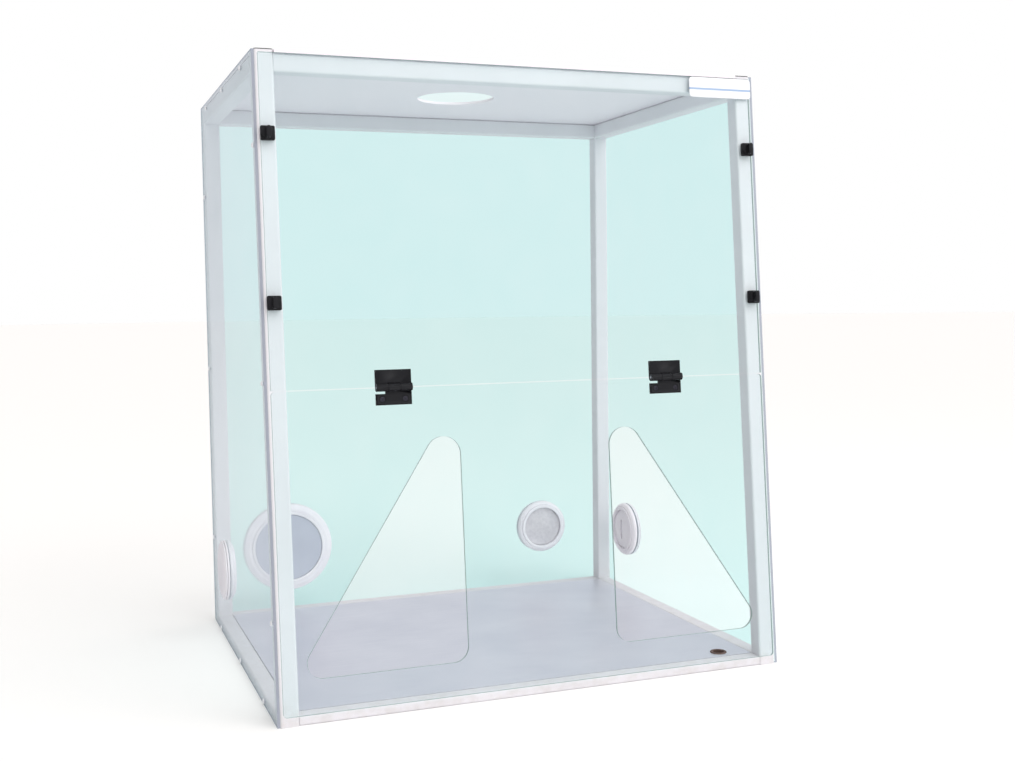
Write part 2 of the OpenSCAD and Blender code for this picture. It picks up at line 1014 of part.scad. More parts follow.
// Flange outside the wall with a neck that passes through it
module port_flange(flange, bore) {
    r = bore / 2;
    inner_end = -panel_t - nut_t - neck_end;
    color(port_grey)
        rotate_extrude($fn = 96)
            polygon([
                [r, inner_end],
                [neck_r(bore) - 1, inner_end],
                [neck_r(bore), inner_end + 1],
                [neck_r(bore), 0],
                [flange / 2, 0],
                [flange / 2, flange_t - 1],
                [flange / 2 - 1, flange_t],
                [r, flange_t]
            ]);
}

// Ring nut inside the wall, with a dished face
module port_nut(flange, bore) {
    r = neck_r(bore) + shaft_fit;
    face = -panel_t - nut_t;
    color(port_grey)
        rotate_extrude($fn = 96)
            polygon([
                [r, -panel_t],
                [r, face + 2],
                [r + 2, face],
                [flange / 2 - 4, face],
                [flange / 2 - 1, face + 2],
                [flange / 2, face + 4.5],
                [flange / 2, -panel_t]
            ]);
}

// Push-in cap: domed face, and a plug that ends level with the ring nut's face
module port_cap(flange, bore) {
    rim = flange / 2 - 1;
    plug_r = bore / 2 - neck_fit;
    plug_end = -panel_t - nut_t;
    seat = flange_t + move_gap;
    top = seat + cap_face + cap_crown;
    color(port_grey)
        rotate_extrude($fn = 96)
            polygon([
                [0, plug_end],
                [plug_r, plug_end],
                [plug_r, seat],
                [rim, seat],
                [rim, seat + cap_face],
                [rim - 3, seat + cap_face + cap_crown * 0.5],
                [rim - 9, seat + cap_face + cap_crown * 0.85],
                [rim - 20, top],
                [0, top]
            ]);
}

front_post(-1);  // post_front_left
front_post(1);  // post_front_right
back_post(-1);  // post_back_left
back_post(1);  // post_back_right
top_rail_front();
rail_back(frame_top - tube, tube);  // top_rail_back
rail_side(-1, frame_top - tube, tube);  // top_rail_left
rail_side(1, frame_top - tube, tube);  // top_rail_right
front_sill();
rail_back(0, base_h);  // base_rail_back
rail_side(-1, 0, base_h);  // base_rail_left
rail_side(1, 0, base_h);  // base_rail_right
rail_plugs();
post_caps();
side_panel(-1);  // left_panel
side_panel(1);  // right_panel
back_panel();
ceiling_panel();
front_panel();
door_panel();
floor_pan();
floor_grommet();
label_plate();
side_panel_screws(-1);  // left_panel_screws
side_panel_screws(1);  // right_panel_screws
back_panel_screws();
ceiling_screws();
upper_leaf(-1);  // hinge_left_upper_leaf
lower_leaf(-1);  // hinge_left_lower_leaf
hinge_pin(-1);  // hinge_left_pin
upper_leaf(1);  // hinge_right_upper_leaf
lower_leaf(1);  // hinge_right_lower_leaf
hinge_pin(1);  // hinge_right_pin
hinge_screws_upper();
hinge_screws_lower();
hinge_nuts_lower();
latch_base_at(-1, latch_top_z);  // latch_base_left_top
latch_base_at(-1, latch_mid_z);  // latch_base_left_mid
latch_base_at(1, latch_top_z);  // latch_base_right_top
latch_base_at(1, latch_mid_z);  // latch_base_right_mid
latch_knob_at(-1, latch_top_z);  // latch_knob_left_top
latch_knob_at(-1, latch_mid_z);  // latch_knob_left_mid
latch_knob_at(1, latch_top_z);  // latch_knob_right_top
latch_knob_at(1, latch_mid_z);  // latch_knob_right_mid
on_back(large_at) port_flange(large_flange, large_bore);  // port_large_flange
on_back(large_at) port_nut(large_flange, large_bore);  // port_large_nut
on_back(large_at) port_cap(large_flange, large_bore);  // port_large_cap
on_back(small_at) port_flange(small_flange, small_bore);  // port_small_flange
on_back(small_at) port_nut(small_flange, small_bore);  // port_small_nut
on_back(small_at) port_cap(small_flange, small_bore);  // port_small_cap
on_side(-1) port_flange(small_flange, small_bore);  // port_left_flange
on_side(-1) port_nut(small_flange, small_bore);  // port_left_nut
on_side(-1) port_cap(small_flange, small_bore);  // port_left_cap
on_side(1) port_flange(small_flange, small_bore);  // port_right_flange
on_side(1) port_nut(small_flange, small_bore);  // port_right_nut
on_side(1) port_cap(small_flange, small_bore);  // port_right_cap
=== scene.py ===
"""The looks of a bench-top ventilated enclosure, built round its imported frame.

The CAD nodes give the frame, the panels and every place. This script replaces the moulded parts
(hinges, latches, ports, post caps, label plate and floor grommet) with detailed pieces, and dresses
everything in procedural finishes. Lengths are metres unless a name ends in _mm.
"""

import json
import logging
import math
from collections.abc import Sequence
from dataclasses import dataclass
from enum import Enum

import bpy
from mathutils import Matrix, Vector


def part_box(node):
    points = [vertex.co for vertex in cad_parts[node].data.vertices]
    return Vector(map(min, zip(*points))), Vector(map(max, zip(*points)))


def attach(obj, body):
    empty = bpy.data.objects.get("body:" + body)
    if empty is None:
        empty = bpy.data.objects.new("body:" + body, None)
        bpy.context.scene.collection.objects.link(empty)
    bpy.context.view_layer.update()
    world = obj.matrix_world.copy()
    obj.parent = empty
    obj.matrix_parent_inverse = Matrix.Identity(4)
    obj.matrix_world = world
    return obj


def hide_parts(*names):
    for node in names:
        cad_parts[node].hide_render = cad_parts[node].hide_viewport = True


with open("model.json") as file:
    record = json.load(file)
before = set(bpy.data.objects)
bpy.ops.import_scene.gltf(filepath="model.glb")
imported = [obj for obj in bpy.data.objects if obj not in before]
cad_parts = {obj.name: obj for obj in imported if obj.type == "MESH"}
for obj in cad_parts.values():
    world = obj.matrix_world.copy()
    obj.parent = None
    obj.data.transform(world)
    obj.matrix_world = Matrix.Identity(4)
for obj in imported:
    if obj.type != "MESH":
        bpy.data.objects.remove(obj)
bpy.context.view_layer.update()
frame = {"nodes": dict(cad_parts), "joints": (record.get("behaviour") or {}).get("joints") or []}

LOG = logging.getLogger("enclosure")
MM = 0.001
Point = tuple[float, float]


# ---------------------------------------------------------------- modelling


def deselect_everything() -> None:
    """Leaves edit mode and deselects every object."""
    if bpy.context.object and bpy.context.object.mode != "OBJECT":
        bpy.ops.object.mode_set(mode="OBJECT")
    bpy.ops.object.select_all(action="DESELECT")


def select_only(piece: bpy.types.Object) -> None:
    """Makes one piece the only selected object, and the active one.

    Args:
        piece: The object to select.
    """
    deselect_everything()
    piece.select_set(True)
    bpy.context.view_layer.objects.active = piece


def box_piece(name: str, low: Sequence[float], high: Sequence[float]) -> bpy.types.Object:
    """Adds a box between two corners.

    Args:
        name: Name of the new object.
        low: Lowest corner.
        high: Highest corner.

    Returns:
        The box, with its place in its mesh.
    """
    deselect_everything()
    low, high = Vector(low), Vector(high)
    bpy.ops.mesh.primitive_cube_add(size=1.0, location=(low + high) / 2)
    piece = bpy.context.object
    piece.name = piece.data.name = name
    piece.scale = high - low
    bpy.ops.object.transform_apply(location=True, rotation=True, scale=True)
    return piece


def rod_piece(
    name: str, radius: float, start: Sequence[float], end: Sequence[float], sides: int = 32
) -> bpy.types.Object:
    """Adds a round rod between two points.

    Args:
        name: Name of the new object.
        radius: Radius of the rod.
        start: Centre of one end.
        end: Centre of the other end.
        sides: Number of sides.

    Returns:
        The rod, with its place in its mesh.
    """
    deselect_everything()
    start, end = Vector(start), Vector(end)
    run = end - start
    turn = run.to_track_quat("Z", "Y").to_euler()
    bpy.ops.mesh.primitive_cylinder_add(
        vertices=sides, radius=radius, depth=run.length, location=(start + end) / 2, rotation=turn
    )
    piece = bpy.context.object
    piece.name = piece.data.name = name
    bpy.ops.object.transform_apply(location=True, rotation=True, scale=True)
    return piece


def rounded_profile(corners: Sequence[tuple[float, float, float]], steps: int = 6) -> list[Point]:
    """Rounds the corners of a closed profile.

    Args:
        corners: Radius, height and rounding radius of each corner, in order.
        steps: Number of points on each rounded corner, less one.

    Returns:
        The profile's points.
    """
    points: list[Point] = []
    count = len(corners)
    for i, (x, y, rounding) in enumerate(corners):
        here = Vector((x, y))
        before = Vector(corners[i - 1][:2]) - here
        after = Vector(corners[(i + 1) % count][:2]) - here
        if rounding <= 0:
            points.append((x, y))
            continue
        half = before.angle(after) / 2
        back = min(rounding / math.tan(half), 0.45 * min(before.length, after.length))
        rounding = back * math.tan(half)
        before.normalize()
        after.normalize()
        middle = here + (before + after).normalized() * (rounding / math.sin(half))
        first = here + before * back - middle
        last = here + after * back - middle
        for step in range(steps + 1):
            ray = first.normalized().slerp(last.normalized(), step / steps)
            points.append(tuple(middle + ray * rounding))
    return points


def lathe_piece(name: str, profile: Sequence[Point], steps: int = 96) -> bpy.types.Object:
    """Spins a closed profile about the Z axis.

    Args:
        name: Name of the new object.
        profile: Radius and height of each point, in order round the profile.
        steps: Number of steps in the turn.

    Returns:
        A closed, smooth-shaded solid of revolution.
    """
    deselect_everything()
    bpy.ops.mesh.primitive_plane_add(size=MM)
    piece = bpy.context.object
    piece.name = piece.data.name = name
    bpy.ops.object.mode_set(mode="EDIT")
    bpy.ops.mesh.merge(type="CENTER")
    here = Vector((profile[0][0], 0, profile[0][1]))
    bpy.ops.transform.translate(value=here)
    for radius, height in profile[1:]:
        there = Vector((radius, 0, height))
        bpy.ops.mesh.extrude_region_move(TRANSFORM_OT_translate={"value": there - here})
        here = there
    bpy.ops.mesh.extrude_region_move(
        TRANSFORM_OT_translate={"value": Vector((profile[0][0], 0, profile[0][1])) - here}
    )
    bpy.ops.mesh.select_all(action="SELECT")
    bpy.ops.mesh.remove_doubles(threshold=MM / 1000)
    bpy.ops.mesh.spin(steps=steps, angle=2 * math.pi, center=(0, 0, 0), axis=(0, 0, 1))
    bpy.ops.mesh.select_all(action="SELECT")
    bpy.ops.mesh.remove_doubles(threshold=MM / 100)
    bpy.ops.mesh.normals_make_consistent(inside=False)
    bpy.ops.object.mode_set(mode="OBJECT")
    smooth(piece)
    return piece


def smooth(piece: bpy.types.Object, angle_deg: float = 32.0) -> None:
    """Shades a piece smooth wherever its faces meet at less than an angle.

    Args:
        piece: The piece to shade.
        angle_deg: The largest angle that still looks smooth.
    """
    select_only(piece)
    bpy.ops.object.shade_smooth_by_angle(angle=math.radians(angle_deg))


def modify(piece: bpy.types.Object, kind: str, **settings: object) -> None:
    """Adds a modifier with its settings and applies it.

    Args:
        piece: The piece to change.
        kind: Blender's name of the modifier type.
        **settings: The modifier's own settings.
    """
    select_only(piece)
    modifier = piece.modifiers.new(kind.title(), kind)
    for key, value in settings.items():
        setattr(modifier, key, value)
    bpy.ops.object.modifier_apply(modifier=modifier.name)


def round_edges(piece: bpy.types.Object, width: float, segments: int = 3) -> None:
    """Bevels every sharp edge of a piece.

    Args:
        piece: The piece to change.
        width: Width of the bevel.
        segments: Number of faces across it.
    """
    modify(
        piece, "BEVEL", width=width, segments=segments, limit_method="ANGLE",
        angle_limit=math.radians(35), harden_normals=False,
    )


def round_upright_edges(piece: bpy.types.Object, width: float, segments: int = 6) -> None:
    """Bevels only the edges of a piece that run along its local Z axis.

    Args:
        piece: The piece to change.
        width: Width of the bevel.
        segments: Number of faces across it.
    """
    select_only(piece)
    bpy.ops.object.mode_set(mode="EDIT")
    bpy.ops.mesh.select_mode(type="EDGE")
    bpy.ops.mesh.select_all(action="DESELECT")
    bpy.ops.object.mode_set(mode="OBJECT")
    mesh = piece.data
    for edge in mesh.edges:
        a, b = (mesh.vertices[v].co for v in edge.vertices)
        edge.select = abs((b - a).normalized().z) > 0.999
    bpy.ops.object.mode_set(mode="EDIT")
    bpy.ops.mesh.bevel(offset=width, segments=segments)
    bpy.ops.mesh.select_mode(type="VERT")
    bpy.ops.object.mode_set(mode="OBJECT")


def combine(piece: bpy.types.Object, other: bpy.types.Object, operation: str) -> None:
    """Joins another solid to a piece, or cuts it away, and removes the other.

    Args:
        piece: The piece to change.
        other: The solid to add or cut.
        operation: UNION or DIFFERENCE.
    """
    modify(piece, "BOOLEAN", object=other, operation=operation, solver="EXACT")
    bpy.data.objects.remove(other)


def join_pieces(name: str, pieces: Sequence[bpy.types.Object]) -> bpy.types.Object:
    """Puts several separate solids into one object.

    Args:
        name: Name of the object.
        pieces: The solids.

    Returns:
        The joined object.
    """
    deselect_everything()
    for piece in pieces:
        piece.select_set(True)
    bpy.context.view_layer.objects.active = pieces[0]
    if len(pieces) > 1:
        bpy.ops.object.join()
    pieces[0].name = pieces[0].data.name = name
    return pieces[0]


def copy_piece(piece: bpy.types.Object, name: str) -> bpy.types.Object:
    """Copies a piece with a mesh of its own.

    Args:
        piece: The piece to copy.
        name: Name of the copy.

    Returns:
        The copy.
    """
    twin = piece.copy()
    twin.data = piece.data.copy()
    twin.name = twin.data.name = name
    bpy.context.scene.collection.objects.link(twin)
    return twin


def place(piece: bpy.types.Object, seat: Matrix) -> bpy.types.Object:
    """Moves a piece to its seat and puts the place into its mesh.

    Args:
        piece: The piece, modelled at the origin.
        seat: Where its local axes go.

    Returns:
        The same piece.
    """
    select_only(piece)
    piece.matrix_world = seat
    bpy.ops.object.transform_apply(location=True, rotation=True, scale=True)
    return piece


def seat_at(origin: Vector, out: Vector, up: Vector) -> Matrix:
    """Makes local axes with Z pointing out and Y pointing up.

    Args:
        origin: Where the local origin lies.
        out: Outward direction.
        up: Upward direction, square to out.

    Returns:
        The matrix from those axes to the frame's.
    """
    z_axis = out.normalized()
    y_axis = up.normalized()
    x_axis = y_axis.cross(z_axis)
    turn = Matrix((x_axis, y_axis, z_axis)).transposed().to_4x4()
    return Matrix.Translation(origin) @ turn


# ---------------------------------------------------------------- finishes


def linear(hex_colour: str) -> tuple[float, float, float, float]:
    """Turns an sRGB hex colour to linear light.

    Args:
        hex_colour: Six hex digits after a hash sign.

    Returns:
        Red, green, blue and an alpha of one.
    """
    parts = [int(hex_colour[i : i + 2], 16) / 255 for i in (1, 3, 5)]
    light = [c / 12.92 if c <= 0.04045 else ((c + 0.055) / 1.055) ** 2.4 for c in parts]
    return (*light, 1.0)


def add_node(
    tree: bpy.types.NodeTree, kind: str, inputs: dict | None = None, **settings: object
) -> bpy.types.Node:
    """Adds one node with its settings, input values and links.

    Args:
        tree: The tree to add it to.
        kind: Blender's name of the node type.
        inputs: A value, or another node's output, for each input by name or number.
        **settings: The node's own settings.

    Returns:
        The new node.
    """
    made = tree.nodes.new(kind)
    for key, value in settings.items():
        setattr(made, key, value)
    for key, value in (inputs or {}).items():
        if isinstance(value, bpy.types.NodeSocket):
            tree.links.new(value, made.inputs[key])
        else:
            made.inputs[key].default_value = value
    return made


def ramp(
    tree: bpy.types.NodeTree, factor: bpy.types.NodeSocket,
    low: float, high: float, a: float, b: float,
) -> bpy.types.NodeSocket:
    """Maps a value from one range to another, held at both ends.

    Args:
        tree: The tree to add it to.
        factor: The value to map.
        low: Where the first range starts.
        high: Where the first range ends.
        a: Result at low.
        b: Result at high.

    Returns:
        The mapped value.
    """
    inputs = {"Value": factor, "From Min": low, "From Max": high, "To Min": a, "To Max": b}
    return add_node(tree, "ShaderNodeMapRange", inputs).outputs["Result"]


def blend_colours(
    tree: bpy.types.NodeTree, factor: bpy.types.NodeSocket, first: object, second: object
) -> bpy.types.NodeSocket:
    """Mixes two colours.

    Args:
        tree: The tree to add it to.
        factor: Share of the second colour.
        first: First colour, as a value or a link.
        second: Second colour, as a value or a link.

    Returns:
        The mixed colour.
    """
    mix = add_node(tree, "ShaderNodeMix", data_type="RGBA")
    for number, value in ((0, factor), (6, first), (7, second)):
        if isinstance(value, bpy.types.NodeSocket):
            tree.links.new(value, mix.inputs[number])
        else:
            mix.inputs[number].default_value = value
    return mix.outputs[2]


class Grain(Enum):
    """How a surface's fine grain runs."""

    EVEN = (1.0, 1.0, 1.0)
    BRUSHED_ACROSS = (0.012, 1.0, 1.0)


@dataclass(frozen=True)
class Finish:
    """A surface finish: two close colours in soft patches, and a fine grain in bump and gloss.

    Attributes:
        name: Name of the material.
        colour: Main colour.
        shade: Second colour, in patches.
        roughness: Middle roughness.
        metallic: One for bare metal.
        grain_mm: Size of the fine grain.
        grain_depth_mm: Height of the fine grain.
        patch_mm: Size of the soft patches.
        spread: How far the roughness varies each way.
        grain: Direction of the grain.
        ior: Index of refraction of anything but metal.
        coat: Weight of a clear coat.
    """

    name: str
    colour: str
    shade: str
    roughness: float
    metallic: float = 0.0
    grain_mm: float = 1.0
    grain_depth_mm: float = 0.03
    patch_mm: float = 90.0
    spread: float = 0.06
    grain: Grain = Grain.EVEN
    ior: float = 1.5
    coat: float = 0.0

    def material(self) -> bpy.types.Material:
        """Returns the finish's material, made on first use."""
        known = bpy.data.materials.get(self.name)
        if known:
            return known
        made = bpy.data.materials.new(self.name)
        made.use_nodes = True
        made.node_tree.nodes.clear()
        self.build(made.node_tree)
        return made

    def build(self, tree: bpy.types.NodeTree) -> None:
        """Builds the nodes.

        Args:
            tree: An empty tree to build in.
        """
        where = add_node(tree, "ShaderNodeTexCoord").outputs["Object"]
        along = add_node(tree, "ShaderNodeMapping", {"Vector": where, "Scale": self.grain.value})
        fine = add_node(
            tree, "ShaderNodeTexNoise",
            {"Vector": along.outputs[0], "Scale": 1 / (self.grain_mm * MM), "Detail": 3.0},
        ).outputs["Fac"]
        patches = add_node(
            tree, "ShaderNodeTexNoise",
            {"Vector": where, "Scale": 1 / (self.patch_mm * MM), "Detail": 4.0},
        ).outputs["Fac"]
        mixed = add_node(
            tree, "ShaderNodeMath", {0: fine, 1: patches}, operation="ADD"
        ).outputs[0]
        share = ramp(tree, mixed, 0.7, 1.3, 0.0, 1.0)
        plain = blend_colours(tree, share, linear(self.colour), linear(self.shade))
        colour = self.paint(tree, where, plain)
        smoothest, roughest = self.roughness - self.spread, self.roughness + self.spread
        rough = ramp(tree, mixed, 0.7, 1.3, smoothest, roughest)
        bump = add_node(
            tree, "ShaderNodeBump",
            {"Height": fine, "Distance": self.grain_depth_mm * MM, "Strength": 0.6},
        ).outputs["Normal"]
        shader = add_node(
            tree, "ShaderNodeBsdfPrincipled",
            {"Base Color": colour, "Roughness": rough, "Normal": bump},
        )
        shader.inputs["Metallic"].default_value = self.metallic
        if self.metallic == 0:
            shader.inputs["IOR"].default_value = self.ior
        shader.inputs["Coat Weight"].default_value = self.coat
        self.tune(shader)
        add_node(tree, "ShaderNodeOutputMaterial", {"Surface": self.surface(tree, shader)})

    def paint(
        self, tree: bpy.types.NodeTree, where: bpy.types.NodeSocket, colour: bpy.types.NodeSocket
    ) -> bpy.types.NodeSocket:
        """Adds marks to the colour; a plain finish has none.

        Args:
            tree: The tree to build in.
            where: Object coordinates.
            colour: The plain colour.

        Returns:
            The colour with its marks.
        """
        return colour

    def tune(self, shader: bpy.types.Node) -> None:
        """Sets what only some finishes have; a plain finish has nothing more."""

    def surface(self, tree: bpy.types.NodeTree, shader: bpy.types.Node) -> bpy.types.NodeSocket:
        """Returns what goes to the output; a plain finish's shader as it is."""
        return shader.outputs[0]


@dataclass(frozen=True)
class PowderCoat(Finish):
    """White powder coat, with darker beige spots that thin out upwards from the floor.

    Attributes:
        low_spots: Colour of the darker spots near the floor.
        low_spots_top_mm: Height at which the darker spots end.
    """

    low_spots: str = "#B9B2A8"
    low_spots_top_mm: float = 45.0

    def paint(
        self, tree: bpy.types.NodeTree, where: bpy.types.NodeSocket, colour: bpy.types.NodeSocket
    ) -> bpy.types.NodeSocket:
        """Adds the darker beige spots, thinning out upwards from the floor."""
        # Darker beige spots near the floor, fading out by the given height
        height = add_node(tree, "ShaderNodeSeparateXYZ", {0: where}).outputs["Z"]
        low = ramp(tree, height, 0.0, self.low_spots_top_mm * MM, 0.3, 0.0)
        spots = add_node(
            tree, "ShaderNodeTexNoise", {"Vector": where, "Scale": 70.0, "Detail": 6.0}
        ).outputs["Fac"]
        spotted = ramp(tree, spots, 0.42, 0.7, 0.0, 1.0)
        share = add_node(tree, "ShaderNodeMath", {0: low, 1: spotted}, operation="MULTIPLY")
        return blend_colours(tree, share.outputs[0], colour, linear(self.low_spots))


@dataclass(frozen=True)
class ClearSheet(Finish):
    """Clear cast acrylic: polished faces, and sawn edges that are grey and let little through.

    Attributes:
        across: Direction through the sheet's thickness.
        edge_colour: Colour of the sawn edges: frosted grey, with painted shade in the darker tones
            given to the side and front sheets.
    """

    across: tuple[float, float, float] = (1.0, 0.0, 0.0)
    edge_colour: str = "#BCCACD"

    def edge_share(self, tree: bpy.types.NodeTree) -> bpy.types.NodeSocket:
        """Returns one on the sawn edges and nothing on the faces."""
        normal = add_node(tree, "ShaderNodeTexCoord").outputs["Normal"]
        facing = add_node(
            tree, "ShaderNodeVectorMath", {0: normal, 1: self.across}, operation="DOT_PRODUCT"
        ).outputs["Value"]
        size = add_node(tree, "ShaderNodeMath", {0: facing}, operation="ABSOLUTE").outputs[0]
        return ramp(tree, size, 0.45, 0.75, 1.0, 0.0)

    def paint(
        self, tree: bpy.types.NodeTree, where: bpy.types.NodeSocket, colour: bpy.types.NodeSocket
    ) -> bpy.types.NodeSocket:
        """Greys the sawn edges: frosted grey, with painted shade where the edge colour is set
        darker.
        """
        return blend_colours(tree, self.edge_share(tree), colour, linear(self.edge_colour))

    def tune(self, shader: bpy.types.Node) -> None:
        """Lets light through the faces, and little through the edges."""
        tree = shader.id_data
        clear = ramp(tree, self.edge_share(tree), 0.0, 1.0, 1.0, 0.15)
        tree.links.new(clear, shader.inputs["Transmission Weight"])

    def surface(self, tree: bpy.types.NodeTree, shader: bpy.types.Node) -> bpy.types.NodeSocket:
        """Lets lamps shine straight through the sheet, as thin clear sheet does."""
        path = add_node(tree, "ShaderNodeLightPath")
        lamp = add_node(
            tree, "ShaderNodeMath",
            {0: path.outputs["Is Shadow Ray"], 1: path.outputs["Is Diffuse Ray"]},
            operation="MAXIMUM",
        )
        open_way = add_node(tree, "ShaderNodeBsdfTransparent", {"Color": linear(self.colour)})
        return add_node(
            tree, "ShaderNodeMixShader",
            {0: lamp.outputs[0], 1: shader.outputs[0], 2: open_way.outputs[0]},
        ).outputs[0]


@dataclass(frozen=True)
class BlankLabel(Finish):
    """A plain white plate with one pale blue bar and nothing written on it.

    Attributes:
        bar: Colour of the bar.
        bar_low_mm: Height of the bar's lower edge in the frame.
        bar_high_mm: Height of its upper edge.
    """

    bar: str = "#9FB6D6"
    bar_low_mm: float = 866.0
    bar_high_mm: float = 869.0

    def paint(
        self, tree: bpy.types.NodeTree, where: bpy.types.NodeSocket, colour: bpy.types.NodeSocket
    ) -> bpy.types.NodeSocket:
        """Adds the bar."""
        height = add_node(tree, "ShaderNodeSeparateXYZ", {0: where}).outputs["Z"]
        over = add_node(
            tree, "ShaderNodeMath", {0: height, 1: self.bar_low_mm * MM}, operation="GREATER_THAN"
        )
        under = add_node(
            tree, "ShaderNodeMath", {0: height, 1: self.bar_high_mm * MM}, operation="LESS_THAN"
        )
        share = add_node(
            tree, "ShaderNodeMath", {0: over.outputs[0], 1: under.outputs[0]}, operation="MULTIPLY"
        )
        return blend_colours(tree, share.outputs[0], colour, linear(self.bar))


# Powder coat on steel tube: an even satin white with a fine orange-peel skin
POWDER_COAT = PowderCoat(
    "powder_coated_steel", "#E4E2E7", "#DBD9DE", 0.38,
    grain_mm=1.6, grain_depth_mm=0.05, patch_mm=160,
)


def clear_acrylic(
    side: str, across: tuple[float, float, float], edge_colour: str = "#BCCACD"
) -> ClearSheet:
    """Returns the finish of one sheet of cast acrylic.

    Args:
        side: Word for the sheet in the material's name.
        across: Direction through its thickness.
        edge_colour: Colour of its sawn edges; the darker tones given to the side and front sheets
            are painted shade.

    Returns:
        Smooth acrylic with a slight waviness. Its low index keeps reflections as faint as on a
        coated sheet, also where it is seen nearly edge on.
    """
    return ClearSheet(
        f"clear_cast_acrylic_{side}", "#FBFEFE", "#F8FDFD", 0.03, grain_mm=60,
        grain_depth_mm=0.02, patch_mm=300, spread=0.02, ior=1.06,
        across=across, edge_colour=edge_colour,
    )


# Extruded grey-white sheet: satin, opaque, with slow tone changes. Its colour is painted light:
# set lighter than the real sheet to make up for the shade on its underside.
CEILING_SHEET = Finish(
    "satin_grey_pvc_sheet", "#F2EBF1", "#ECE5EC", 0.42,
    grain_mm=2.5, grain_depth_mm=0.02, patch_mm=260,
)
# Brushed stainless sheet: long fine scratches side to side, soft reflections
FLOOR_STEEL = Finish(
    "brushed_stainless_sheet", "#EDECF1", "#E0E0E7", 0.38, metallic=0.8, grain_mm=0.8,
    grain_depth_mm=0.02, patch_mm=130, spread=0.09, grain=Grain.BRUSHED_ACROSS,
)
# Moulded black nylon: a fine spark-eroded texture, greyer where it catches light
BLACK_NYLON = Finish(
    "moulded_black_nylon", "#0E0E11", "#17171B", 0.5,
    grain_mm=0.5, grain_depth_mm=0.03, patch_mm=12, ior=1.38,
)
# Moulded polypropylene: waxy grey-white with faint flow marks
PORT_PLASTIC = Finish(
    "moulded_polypropylene", "#F1EEF3", "#E6E3EA", 0.36,
    grain_mm=1.4, grain_depth_mm=0.03, patch_mm=40,
)
# Polypropylene cap of the large port: a shade bluer and duller than the rings
CAP_PLASTIC = Finish(
    "moulded_polypropylene_cap", "#C3C6D3", "#BABDCB", 0.4,
    grain_mm=1.4, grain_depth_mm=0.03, patch_mm=45,
)
# Smoky styrene lens: hard gloss over a greyer body
LENS_PLASTIC = Finish(
    "smoky_styrene_cap", "#D8D4D9", "#C6C2C9", 0.16, grain_mm=5, grain_depth_mm=0.02, patch_mm=18,
    spread=0.03, coat=0.6,
)
# White enamel on domed screws: glossy
SCREW_ENAMEL = Finish("white_enamel_screw", "#EDEEF2", "#E2E3E8", 0.28, grain_mm=0.8, patch_mm=5)
# Zinc-plated steel: bright, slightly blotchy metal
ZINC_STEEL = Finish(
    "zinc_plated_steel", "#C4C6CC", "#AFB2B9", 0.3, metallic=1.0, grain_mm=0.4, patch_mm=6
)
# Black-oxide steel: dark grey metal, a little worn
BLACK_OXIDE = Finish(
    "black_oxide_steel", "#56545B", "#3C3B40", 0.34, metallic=1.0, grain_mm=0.5, patch_mm=2.5
)
# Moulded rubber: dull brown with a dusty bloom
BROWN_RUBBER = Finish("moulded_brown_rubber", "#6B5148", "#5A443C", 0.6, grain_mm=0.7, patch_mm=8)
# Gloss plate: white, a little uneven
LABEL_PLATE = BlankLabel("blank_gloss_plate", "#F1F3F6", "#EAEDF2", 0.22, grain_mm=2.0, patch_mm=30)


def dress(
    piece: bpy.types.Object, finish: Finish, body: str | None = None,
    stands_for: Sequence[str] = (),
) -> None:
    """Gives a piece its finish, its slot and, for a new piece, its body.

    Args:
        piece: The piece.
        finish: Its finish.
        body: The body that a new piece rides on; None for a CAD node.
        stands_for: CAD nodes that the piece replaces.
    """
    piece.data.materials.clear()
    piece.data.materials.append(finish.material())
    for face in piece.data.polygons:
        face.material_index = 0
    if body:
        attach(piece, body)
    if stands_for:
        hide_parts(*stands_for)
    LOG.info("%s: %s", piece.name, finish.name)


def joint(name: str) -> dict:
    """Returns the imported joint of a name."""
    return next(j for j in frame["joints"] if j["name"] == name)


# ---------------------------------------------------------------- sub-assemblies


@dataclass
class FrontPlane:
    """The leaning front's own directions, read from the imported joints."""

    out: Vector
    up: Vector

    @classmethod
    def from_frame(cls) -> "FrontPlane":
        """Reads them from an upper latch's axis."""
        out = Vector(joint("knob_left_top_turn")["axis"]).normalized()
        return cls(out, out.cross(Vector((1, 0, 0))))

    def seat(self, origin: Sequence[float]) -> Matrix:
        """Returns local axes on the front at a point."""
        return seat_at(Vector(origin), self.out, self.up)


@dataclass
class CarriedNodes:
    """The CAD nodes whose shape is right, which only get a finish."""

    plane: FrontPlane
    inner: tuple[str, ...] = ("rail_plugs",)
    air_film: float = 0.06 * MM

    def build(self) -> None:
        """Dresses the tubes, panels, floor and screws."""
        # The side sheets' bluer, darker edges and the front sheets' greener, darker edges are
        # painted shade over the frosted grey of sawn acrylic
        side = clear_acrylic("side", (1.0, 0.0, 0.0), "#A6ABB8")
        back = clear_acrylic("back", (0.0, 1.0, 0.0))
        front = clear_acrylic("front", tuple(self.plane.out), "#A3B5B3")
        clear = {
            "left_panel": side, "right_panel": side, "back_panel": back,
            "front_panel": front, "door_panel": front,
        }
        for name, node in frame["nodes"].items():
            if name.startswith(("post_front", "post_back", "top_rail", "base_rail", "front_sill")):
                dress(node, POWDER_COAT)
            elif name in clear:
                dress(node, clear[name])
                film = node.modifiers.new("air_film", "DISPLACE")
                film.mid_level, film.strength = 0.0, -self.air_film
            elif name == "ceiling_panel":
                dress(node, CEILING_SHEET)
            elif name == "floor_pan":
                dress(node, FLOOR_STEEL)
            elif name in self.inner:
                dress(node, BLACK_NYLON)
            elif name.endswith("panel_screws") or name == "ceiling_screws":
                dress(node, SCREW_ENAMEL)
            elif name == "hinge_nuts_lower":
                dress(node, ZINC_STEEL)


